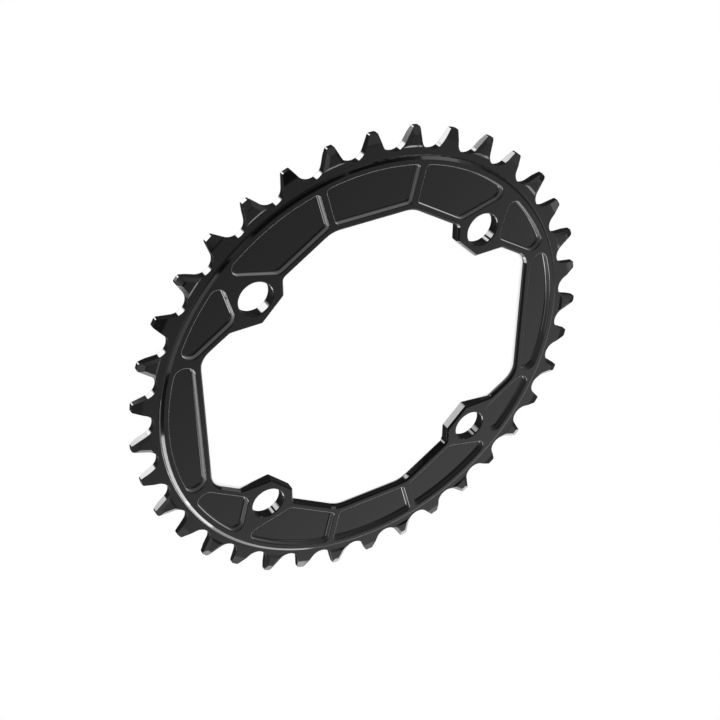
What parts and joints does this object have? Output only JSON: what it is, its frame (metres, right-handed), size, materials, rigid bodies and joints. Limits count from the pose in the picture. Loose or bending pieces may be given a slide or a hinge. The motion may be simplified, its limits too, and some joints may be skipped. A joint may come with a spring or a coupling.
{
  "type": "bicycle chainring",
  "caption": "Flat toothed ring in black anodised aluminium that bolts to a crank spider and drives a chain; teeth alternate narrow and wide, web pocketed to save weight.",
  "frame": {"origin": "on the crank's axis, in the plane of the web's back, which is the lowest face as it lies", "axes": "+Z along the crank's axis, out of the pocketed front face; +X along the opening's long half, between two bolt holes; +Y across it"},
  "size_m": [0.152, 0.151, 0.0031],
  "materials": {
    "anodised": "satin"
  },
  "bodies": {
    "root": {"chainring": "anodised"}
  },
  "joints": []
}
